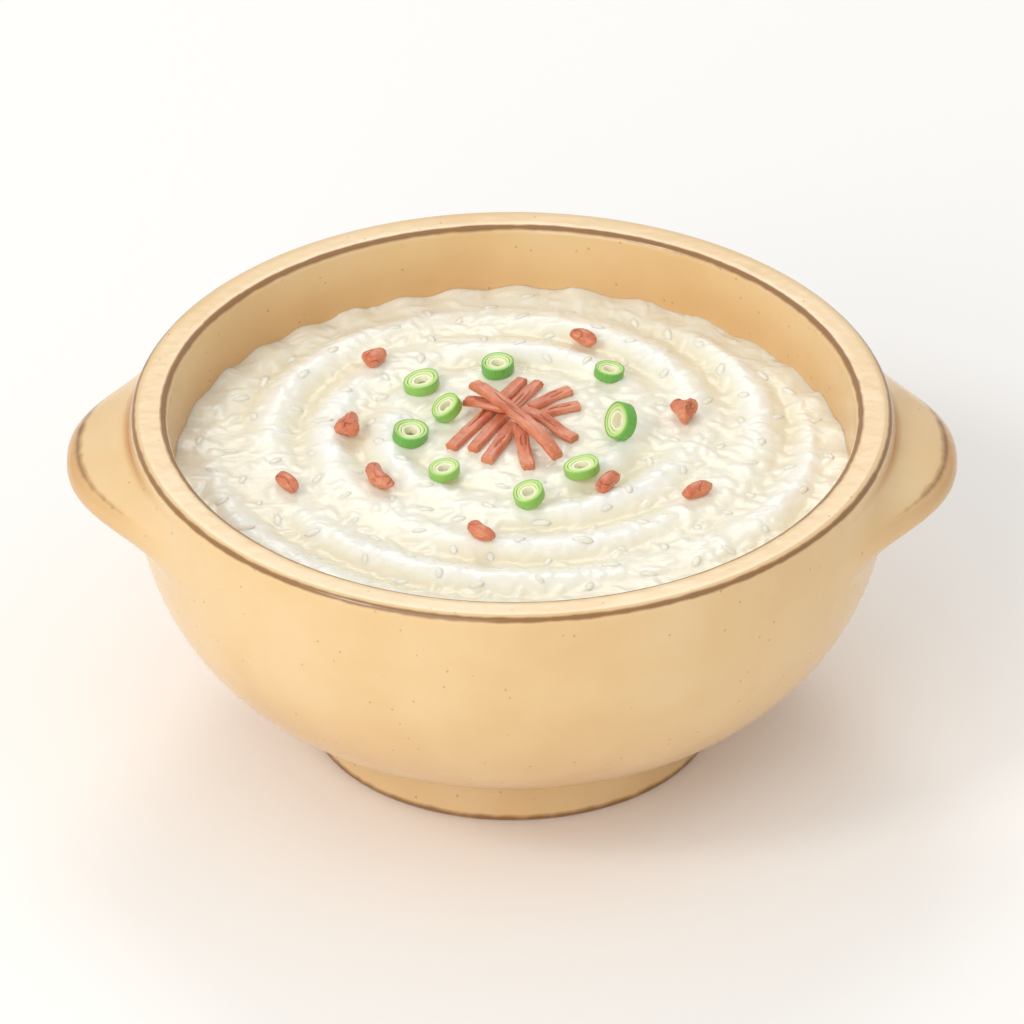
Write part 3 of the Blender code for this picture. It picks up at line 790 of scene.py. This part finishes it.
def under_toppings(x, y, height):
    """Where a topping lies on the congee: 1 under it, 0 elsewhere."""
    touched = np.zeros(len(x))
    for name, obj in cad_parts.items():
        if name in ("bowl", "congee"):
            continue
        low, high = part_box(name)
        mesh = obj.data
        tree = BVHTree.FromPolygons([v.co for v in mesh.vertices], [p.vertices for p in mesh.polygons])
        near = np.nonzero((x > low.x) & (x < high.x) & (y > low.y) & (y < high.y))[0]
        for i in near:
            spot = Vector((x[i], y[i], height[i] - BELOW_SURFACE))
            hit = tree.ray_cast(spot, Vector((0, 0, 1)))[0]
            if hit is not None and hit.z - height[i] < WETTING_GAP:
                touched[i] = 1
    return touched


def soften(values, rounds):
    """Averages each point's value with its neighbours'."""
    for _ in range(rounds):
        total = 2 * values
        for axis in (0, 1):
            for step in (1, -1):
                total = total + np.roll(values, step, axis)
        values = total / 6
    return values


def sunk_grain_relief(x, y):
    """Soft swellings over the rice grains just under the skin, from 0 to 1."""
    chance = random.Random(SUNK_GRAIN_SEED)
    relief = np.zeros(len(x))
    limit = inner_radius(CONGEE_LEVEL)
    for _ in range(SUNK_GRAINS):
        distance = limit * math.sqrt(chance.random())
        angle = chance.uniform(0, FULL_TURN)
        from_x = x - distance * math.cos(angle)
        from_y = y - distance * math.sin(angle)
        heading = chance.uniform(0, math.pi)
        half_length = GRAIN_LENGTH / 2 * chance.uniform(0.6, 1.1)
        half_width = GRAIN_WIDTH / 2 * chance.uniform(0.8, 1.1)
        strength = chance.uniform(0.35, 1)
        near = np.nonzero((abs(from_x) < 2 * half_length) & (abs(from_y) < 2 * half_length))[0]
        along = from_x[near] * math.cos(heading) + from_y[near] * math.sin(heading)
        across = from_y[near] * math.cos(heading) - from_x[near] * math.sin(heading)
        away = (along / half_length) ** 2 + (across / half_width) ** 2
        relief[near] = np.maximum(relief[near], strength * np.exp(-0.9 * away**1.5))
    return relief


def close_below(points, faces, border, angle):
    """Adds the congee's hidden underside to its skin, from the skin's border down to the middle."""
    upper = border
    for depth in CONGEE_UNDER_DEPTHS:
        radius = inner_radius(depth)
        lower = range(len(points), len(points) + len(border))
        for i in border:
            points.append((radius * math.cos(angle[i]), radius * math.sin(angle[i]), BOWL_HEIGHT - depth))
        for k in range(len(border)):
            n = (k + 1) % len(border)
            faces.append([upper[k], upper[n], lower[n], lower[k]])
        upper = lower
    points.append((0, 0, BOWL_HEIGHT - INNER_DEPTH))
    for k in range(len(border)):
        faces.append([upper[k], upper[(k + 1) % len(border)], len(points) - 1])


def make_congee(porridge):
    """A fine skin over the solid's own form, on a square grid that is pulled out into a disc."""
    count = CONGEE_SQUARES + 1
    steps = np.linspace(-1, 1, count)
    s, t = np.meshgrid(steps, steps, indexing="ij")
    unit_x = (s * np.sqrt(1 - t**2 / 2)).ravel()
    unit_y = (t * np.sqrt(1 - s**2 / 2)).ravel()
    angle = np.arctan2(unit_y, unit_x)
    edge = inner_radius(edge_depth(angle)) + WALL_OVERLAP
    x, y = unit_x * edge, unit_y * edge
    height = congee_height(x, y)

    touched = under_toppings(x, y, height).reshape(count, count)
    spacing = 2 * inner_radius(CONGEE_LEVEL) / CONGEE_SQUARES
    wet = soften(touched, round(3 * (WETTING_REACH / spacing) ** 2)).ravel()
    wet = np.minimum(1, WETTING_GAIN * wet)
    grains = sunk_grain_relief(x, y) * (1 - wet)
    height = height + WETTING_HEIGHT * wet + SUNK_GRAIN_HEIGHT * grains

    points = np.stack([x, y, height], axis=1).tolist()
    index = np.arange(count * count).reshape(count, count)
    faces = np.stack([index[:-1, :-1], index[1:, :-1], index[1:, 1:], index[:-1, 1:]], axis=-1)
    faces = faces.reshape(-1, 4).tolist()
    border = np.concatenate([index[0, :-1], index[:-1, -1], index[-1, :0:-1], index[:0:-1, 0]]).tolist()
    close_below(points, faces, border, angle)

    mesh = bpy.data.meshes.new("congee_skin")
    mesh.from_pydata(points, [], faces)
    mesh.materials.append(porridge)
    below = np.zeros(len(points) - count * count)
    # The ridge value carries painted highlight and shade on the swirl, and the sunk grains' whiteness.
    ridge = RIDGE_PAINTED_LIGHT_AND_SHADE * swirl(x, y) + GRAIN_WHITENESS * grains
    room = (wet < 0.05) & (edge - np.hypot(x, y) > LOOSE_GRAIN_FROM_WALL)
    store(mesh, "ridge", np.concatenate([ridge, below]))
    store(mesh, "room", np.concatenate([room, below]))
    face_outwards(mesh)
    mesh.shade_smooth()
    congee = new_object("congee_with_swirls", mesh)
    hand_over(congee, "congee", "congee")
    return congee


def grain_tree():
    """Scatters swollen rice grains over a surface, each lying flat in it and partly sunk."""
    tree, given = new_tree(
        "rice grains in the surface",
        {
            "Spacing": "Float",
            "Trials": "Float",
            "Length": "Float",
            "Width": "Float",
            "Sunk": "Float",
            "Seed": "Int",
            "Grain": "Material",
        },
    )
    room = add_node(tree, "GeometryNodeInputNamedAttribute", {0: "room"}, data_type="FLOAT")
    points = add_node(
        tree,
        "GeometryNodeDistributePointsOnFaces",
        {
            0: given["Geometry"],
            "Distance Min": given["Spacing"],
            "Density Max": given["Trials"],
            "Density Factor": room.outputs[0],
            "Seed": given["Seed"],
        },
        distribute_method="POISSON",
    )
    ball = add_node(tree, "GeometryNodeMeshUVSphere", {"Segments": 8, "Rings": 6, "Radius": 0.5})
    form = {0: given["Length"], 1: given["Width"], 2: given["Width"]}
    form = add_node(tree, "ShaderNodeCombineXYZ", form)
    grain = add_node(tree, "GeometryNodeTransform", {0: ball.outputs[0], "Scale": form.outputs[0]})

    # Each grain has its own size and lies turned and slightly tilted.
    roll, pitch = LOOSE_GRAIN_TILTS
    turns = {0: (-roll, -pitch, 0), 1: (roll, pitch, FULL_TURN), "Seed": given["Seed"]}
    turn = add_node(tree, "FunctionNodeRandomValue", turns, data_type="FLOAT_VECTOR")
    turn = add_node(tree, "FunctionNodeEulerToRotation", {0: turn.outputs[0]})
    turns = {0: points.outputs["Rotation"], 1: turn.outputs[0]}
    turned = add_node(tree, "FunctionNodeRotateRotation", turns, rotation_space="LOCAL")
    shares = {0: LOOSE_GRAIN_LEAST, 1: LOOSE_GRAIN_MOST, "Seed": given["Seed"]}
    size = add_node(tree, "FunctionNodeRandomValue", shares, data_type="FLOAT_VECTOR")
    placed = add_node(
        tree,
        "GeometryNodeInstanceOnPoints",
        {
            0: points.outputs[0],
            "Instance": grain.outputs[0],
            "Rotation": turned.outputs[0],
            "Scale": size.outputs[0],
        },
    )

    down = add_node(tree, "ShaderNodeMath", {0: given["Width"], 1: given["Sunk"]}, operation="MULTIPLY")
    down = add_node(tree, "ShaderNodeMath", {0: down.outputs[0], 1: -0.5}, operation="MULTIPLY")
    down = add_node(tree, "ShaderNodeCombineXYZ", {2: down.outputs[0]})
    lower = {0: placed.outputs[0], "Translation": down.outputs[0], "Local Space": False}
    lowered = add_node(tree, "GeometryNodeTranslateInstances", lower)
    real = add_node(tree, "GeometryNodeRealizeInstances", {0: lowered.outputs[0]})
    smooth = add_node(tree, "GeometryNodeSetShadeSmooth", {0: real.outputs[0]})
    done = add_node(tree, "GeometryNodeSetMaterial", {0: smooth.outputs[0], "Material": given["Grain"]})
    add_node(tree, "NodeGroupOutput", {0: done.outputs[0]})
    return tree


def make_loose_grains(congee, material):
    sizes = {
        "Spacing": LOOSE_GRAIN_SPACING,
        "Trials": LOOSE_GRAIN_TRIALS / LOOSE_GRAIN_SPACING**2,
        "Length": GRAIN_LENGTH,
        "Width": GRAIN_WIDTH,
        "Sunk": LOOSE_GRAIN_SUNK,
        "Seed": LOOSE_GRAIN_SEED,
        "Grain": material,
    }
    grains = grow("rice_grains", congee.data.copy(), grain_tree(), sizes)
    hand_over(grains, "congee")


# The toppings


def merged_copy(name):
    """The solid's own form, with the corners of its loose triangles joined."""
    bm = bmesh.new()
    bm.from_mesh(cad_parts[name].data)
    bmesh.ops.remove_doubles(bm, verts=bm.verts, dist=0.001 * MM)
    mesh = bpy.data.meshes.new(name + "_form")
    bm.to_mesh(mesh)
    bm.free()
    return mesh


def long_axes(points):
    """A long piece's middle, and its axes as columns: along it, level across it, and up from both."""
    middle = points.mean(axis=0)
    along = np.linalg.svd(points - middle, full_matrices=False)[2][0]
    across = np.cross((0, 0, 1), along)
    across /= np.linalg.norm(across)
    return middle, np.stack([along, across, np.cross(along, across)], axis=1)


def relief_at(points, shift, height, along, across):
    """Smooth noise up to the height, with so many waves in each mm along the fibres and across them."""
    scales = np.array([along, across, across]) / MM
    return height * np.array([noise.noise(Vector(p)) for p in points * scales + shift])


class HamPiece:
    """A solid's form with an even fine skin and slightly rounded corners, and its axes along the fibres."""

    def __init__(self, name, voxel, rounding, material):
        carrier = new_object(name + "_source", merged_copy(name))
        remesh = carrier.modifiers.new("skin", "REMESH")
        remesh.mode = "VOXEL"
        remesh.voxel_size = voxel
        rounded = carrier.modifiers.new("rounding", "SMOOTH")
        rounded.factor = 0.5
        rounded.iterations = rounding
        self.name = name
        self.mesh = evaluated_copy(carrier)
        self.mesh.shade_smooth()
        self.mesh.materials.clear()
        self.mesh.materials.append(material)
        self.points = read_points(self.mesh)
        self.normals = read_normals(self.mesh)
        middle, self.axes = long_axes(self.points)
        self.local = (self.points - middle) @ self.axes

    def finish(self, move, crease):
        """Moves the skin in or out, keeps what the material reads, and hands the piece over."""
        write_points(self.mesh, self.points + self.normals * move[:, None])
        store(self.mesh, "grain", self.local)
        store(self.mesh, "crease", crease)
        hand_over(new_object(self.name, self.mesh), "ham", self.name)


def make_ham_strip(name, number, material):
    """A cut strip: fibres run along it, the cut ends are rough, and the top has a crease or two."""
    piece = HamPiece(name, STRIP_VOXEL, STRIP_ROUNDING, material)
    local = piece.local
    shift = STRIP_SHIFT * number
    half_length = abs(local[:, 0]).max()
    at_end = smooth_step(abs(local[:, 0]), half_length - STRIP_END_LENGTH, half_length)
    move = relief_at(local, shift, *STRIP_FIBRE) + relief_at(local, shift + 5, *STRIP_LUMP)
    move += at_end * relief_at(local, shift + 9, *STRIP_END)
    facing_up = smooth_step(piece.normals @ piece.axes[:, 2], 0.2, 0.8)

    chance = random.Random(number)
    crease = np.zeros(len(local))
    for _ in range(STRIP_CREASES):
        start = chance.uniform(-0.6, 0.1) * half_length
        length = chance.uniform(0.4, 0.7) * half_length
        offset = chance.uniform(-0.7, 0.7) * MM
        bow = chance.uniform(-0.5, 0.5) * MM
        share = (local[:, 0] - start) / length
        line = offset + bow * np.sin(np.pi * np.clip(share, 0, 1))
        inside = smooth_step(share, -0.05, 0.15) * (1 - smooth_step(share, 0.85, 1.05))
        groove = np.exp(-(((local[:, 1] - line) / STRIP_CREASE_WIDTH) ** 2))
        crease = np.maximum(crease, inside * facing_up * groove)
    # The creases are grooved and also darkened as painted shade.
    piece.finish(move - STRIP_CREASE_DEPTH * crease, STRIP_CREASE_PAINTED_SHADE * crease)


def make_ham_bit(name, number, material):
    """A small lump of the same ham, torn rather than cut, with a fold or two."""
    piece = HamPiece(name, BIT_VOXEL, BIT_ROUNDING, material)
    shift = BIT_SHIFT * number
    move = relief_at(piece.local, shift, *BIT_LUMP) + relief_at(piece.local, shift + 4, *BIT_FIBRE)
    fold = relief_at(piece.local, shift + 8, *BIT_FOLD)
    crease = np.exp(-((fold / BIT_FOLD_WIDTH) ** 2)) * smooth_step(piece.normals[:, 2], 0, 0.5)
    # The folds are grooved and also darkened as painted shade.
    piece.finish(move - BIT_CREASE_DEPTH * crease, BIT_CREASE_PAINTED_SHADE * crease)


def rounded_section(inner, outer, low, high, edge, steps=3):
    """A rounded rectangle, as (radius, height), counter-clockwise from its lower inner corner."""
    corners = [
        (inner + edge, low + edge, 180),
        (outer - edge, low + edge, 270),
        (outer - edge, high - edge, 0),
        (inner + edge, high - edge, 90),
    ]
    section = []
    for radius, height, start in corners:
        for k in range(steps + 1):
            turn = math.radians(start + 90 * k / steps)
            section.append((radius + edge * math.cos(turn), height + edge * math.sin(turn)))
    return section


def make_onion_ring(name, number, material):
    """Three leaves, one inside the other, cut across: a green outer one and paler ones inside it."""
    points = read_points(merged_copy(name))
    middle = (points.min(axis=0) + points.max(axis=0)) / 2
    long, short, axis = np.linalg.svd(points - points.mean(axis=0), full_matrices=False)[2]
    if axis[2] < 0:
        axis = -axis
    if np.dot(np.cross(long, short), axis) < 0:
        short = -short
    half_long = abs((points - middle) @ long).max()
    half_short = abs((points - middle) @ short).max()
    half_height = abs((points - middle) @ axis).max()

    chance = random.Random(100 + number)
    phases = [chance.uniform(0, FULL_TURN) for _ in range(4)]
    deep = 1.0 if number in DEEP_GREEN_RINGS else chance.uniform(0, 0.45)
    verts, faces, into, around = [], [], [], []
    for inner, outer, recess in ONION_LEAVES:
        low = -half_height + recess * MM / 2
        high = half_height - recess * MM
        section = rounded_section(inner * half_long, outer * half_long, low, high, LEAF_EDGE)
        start, row = len(verts), len(section)
        for i in range(LEAF_COLUMNS):
            angle = FULL_TURN * i / LEAF_COLUMNS
            out_of_round = 1 + LEAF_WAVE * math.sin(3 * angle + phases[0])
            out_of_round += (1 - outer) * INNER_LEAF_OVAL * math.sin(2 * angle + phases[1] + 6 * outer)
            uneven = CUT_SLOPE * math.sin(angle + phases[2]) + CUT_WAVE * math.sin(3 * angle + phases[3])
            # The veins run up the leaf, so their pattern is stretched that way.
            for radius, height in section:
                reach = radius * out_of_round
                spot = middle + long * reach * math.cos(angle)
                spot += short * reach * half_short / half_long * math.sin(angle)
                spot += axis * (height + uneven * (height > 0))
                verts.append(tuple(spot))
                into.append((half_long - radius) / (half_long * (1 - ONION_HOLE)))
                around.append((half_long * angle, 0.1 * height, 0))
            here = start + i * row
            there = start + (i + 1) % LEAF_COLUMNS * row
            for k in range(row):
                n = (k + 1) % row
                faces.append([here + k, there + k, there + n, here + n])

    mesh = bpy.data.meshes.new(name + "_leaves")
    mesh.from_pydata(verts, [], faces)
    store(mesh, "into_wall", into)
    store(mesh, "deep", [deep] * len(verts))
    store(mesh, "around", around)
    face_outwards(mesh)
    mesh.materials.append(material)
    mesh.shade_smooth()
    hand_over(new_object(name, mesh), "spring_onion", name)


# The studio


def make_floor(material):
    """A floor so wide that its edge stays out of every view."""
    half = FLOOR_SIDE / 2
    mesh = bpy.data.meshes.new("studio_floor")
    corners = [(-half, -half, 0), (half, -half, 0), (half, half, 0), (-half, half, 0)]
    mesh.from_pydata(corners, [], [(0, 1, 2, 3)])
    mesh.materials.append(material)
    new_object("studio_floor", mesh)


def add_softbox(name, place, side, power, colour):
    """A square soft light that faces the bowl."""
    light = bpy.data.lights.new(name, "AREA")
    light.size = side
    light.energy = power
    light.color = linear(colour)[:3]
    obj = new_object(name, light)
    obj.location = place
    obj.rotation_euler = (Vector(place) - CAMERA_TARGET).to_track_quat("Z", "Y").to_euler()
    obj.visible_camera = False


def make_studio():
    make_floor(make_paper())
    for name, settings in SOFTBOXES.items():
        add_softbox(name, *settings)
    world = bpy.data.worlds.new("pale studio")
    world.use_nodes = True
    world.node_tree.nodes["Background"].inputs["Color"].default_value = (1, 1, 1, 1)
    world.node_tree.nodes["Background"].inputs["Strength"].default_value = ROOM_LIGHT
    bpy.context.scene.world = world
    bpy.context.scene.view_settings.view_transform = "Standard"


def make_camera():
    camera = bpy.data.cameras.new("camera")
    camera.lens = camera.sensor_width * CAMERA_DISTANCE / SEEN_WIDTH
    camera.clip_end = 2 * CAMERA_DISTANCE
    obj = new_object("camera", camera)
    towards = Vector((0, -math.cos(CAMERA_ELEVATION), math.sin(CAMERA_ELEVATION)))
    obj.location = CAMERA_TARGET + CAMERA_DISTANCE * towards
    obj.rotation_euler = towards.to_track_quat("Z", "Y").to_euler()
    bpy.context.scene.camera = obj


make_camera()
make_studio()
make_bowl(make_glaze())
make_loose_grains(make_congee(make_porridge()), make_grain_material())

ham = make_ham_material()
leaf = make_leaf_material()
toppings = {
    "ham_strip": (make_ham_strip, ham),
    "ham_bit": (make_ham_bit, ham),
    "spring_onion": (make_onion_ring, leaf),
}
for name in sorted(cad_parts):
    kind, _, number = name.rpartition("_")
    if kind in toppings:
        make, material = toppings[kind]
        make(name, int(number), material)
